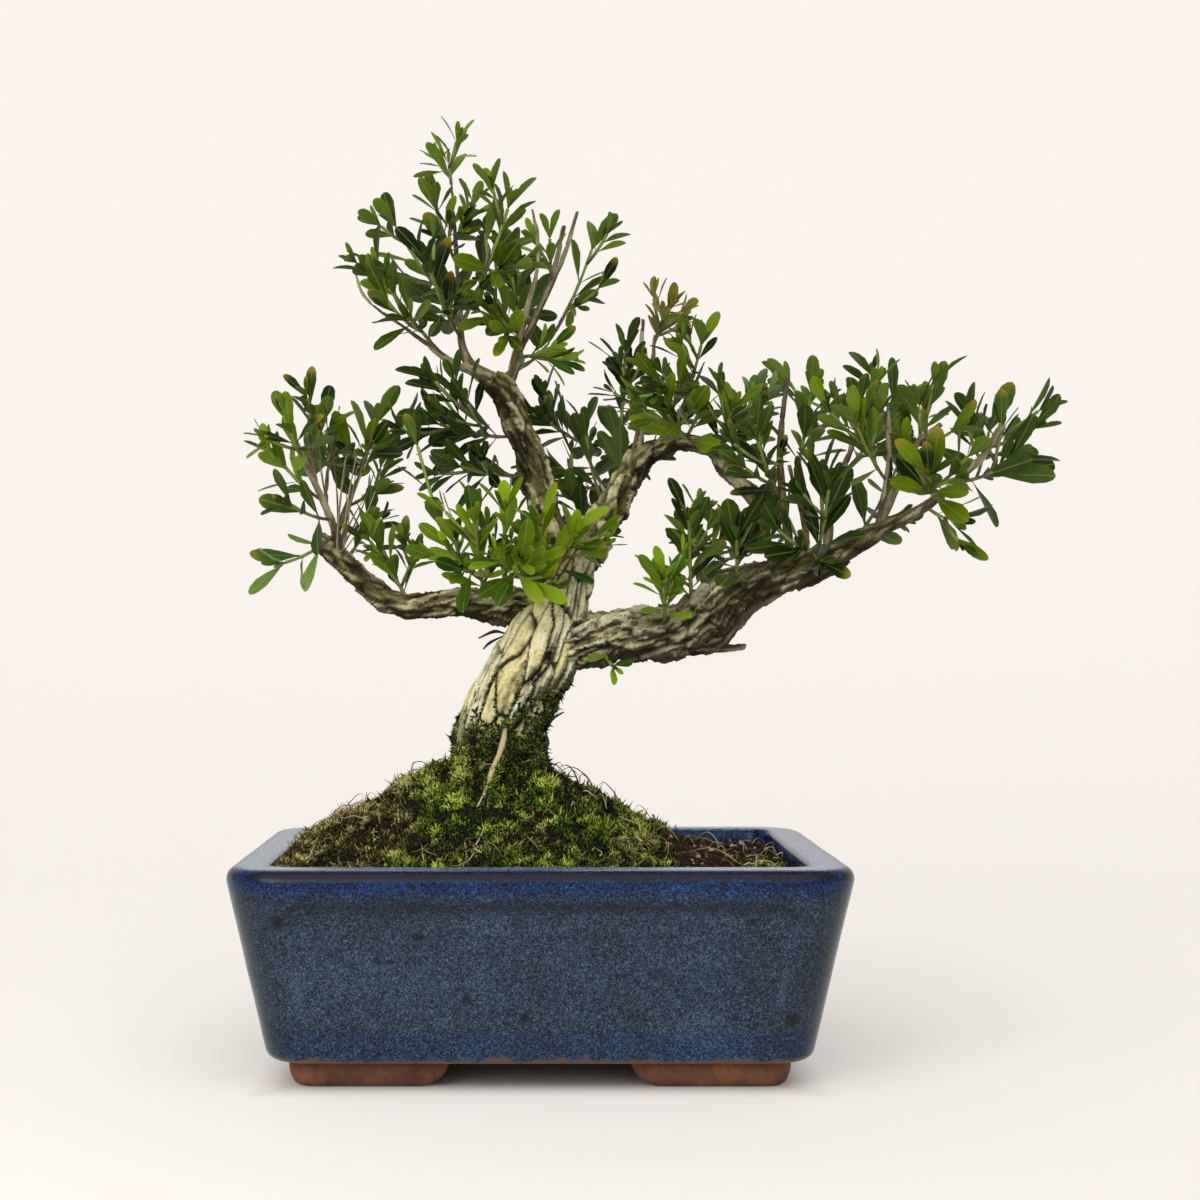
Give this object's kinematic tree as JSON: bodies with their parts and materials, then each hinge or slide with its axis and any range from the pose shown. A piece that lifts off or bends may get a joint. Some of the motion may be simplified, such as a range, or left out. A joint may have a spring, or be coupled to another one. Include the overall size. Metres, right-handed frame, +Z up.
{
  "type": "harland boxwood bonsai in a glazed pot",
  "caption": "Small leaning bonsai tree with leafy sprays on bare limbs, rooted in a soil mound in a glazed rectangular pot on bracket feet.",
  "frame": {"origin": "on the surface that the feet stand on, below the middle of the whole tree and pot", "axes": "+Z up the tree, +X along the pot's long side towards the long right-hand limb, +Y from the front of the pot to its back"},
  "size_m": [0.359, 0.195, 0.4172],
  "materials": {
    "glaze": "gloss",
    "screen": "matte",
    "soil": "matte",
    "bark": "matte",
    "leaf_deep": "satin",
    "leaf_mid": "satin",
    "leaf_fresh": "satin",
    "leaf_lime": "satin",
    "leaf_pale": "satin",
    "leaf_olive": "satin"
  },
  "bodies": {
    "root": {"pot": "glaze", "drain_screen_left": "screen", "drain_screen_right": "screen", "soil": "soil", "trunk": "bark", "spray_apex_top": "leaf_fresh", "spray_apex_high": "leaf_mid", "spray_apex_west": "leaf_mid", "spray_apex_front": "leaf_deep", "spray_apex_crown": "leaf_mid", "spray_apex_fork": "leaf_mid", "spray_apex_middle": "leaf_mid", "spray_apex_small": "leaf_fresh", "spray_apex_east": "leaf_mid", "spray_apex_low": "leaf_fresh", "spray_apex_rear_west": "leaf_deep", "spray_apex_rear_east": "leaf_deep", "spray_left_top": "leaf_mid", "spray_left_lime": "leaf_lime", "spray_left_side": "leaf_deep", "spray_left_droop": "leaf_pale", "spray_left_middle": "leaf_mid", "spray_left_high": "leaf_mid", "spray_left_small": "leaf_mid", "spray_left_rear": "leaf_deep", "spray_left_shoot": "leaf_mid", "spray_left_inside": "leaf_deep", "spray_lime_left": "leaf_lime", "spray_lime_front": "leaf_lime", "spray_lime_right": "leaf_lime", "spray_slim_shoot": "leaf_mid", "spray_dark_left": "leaf_deep", "spray_dark_low": "leaf_deep", "spray_rear_far": "leaf_deep", "spray_rear_high": "leaf_deep", "spray_rear_middle": "leaf_deep", "spray_rear_low": "leaf_deep", "spray_upper_left": "leaf_deep", "spray_upper_tip": "leaf_olive", "spray_upper_front": "leaf_mid", "spray_upper_rear": "leaf_deep", "spray_upper_long": "leaf_mid", "spray_upper_arch": "leaf_mid", "spray_upper_far": "leaf_pale", "spray_right_bright": "leaf_fresh", "spray_right_tall": "leaf_mid", "spray_right_big": "leaf_deep", "spray_right_trefoil": "leaf_fresh", "spray_right_forward": "leaf_deep", "spray_right_behind": "leaf_mid", "spray_right_broad": "leaf_deep", "spray_right_young": "leaf_fresh", "spray_right_back": "leaf_deep", "spray_right_front": "leaf_mid", "spray_right_crown": "leaf_mid", "spray_right_spread": "leaf_mid", "spray_right_tip": "leaf_deep", "spray_right_low": "leaf_mid", "spray_right_rear": "leaf_deep", "spray_right_inside": "leaf_deep"}
  },
  "joints": []
}
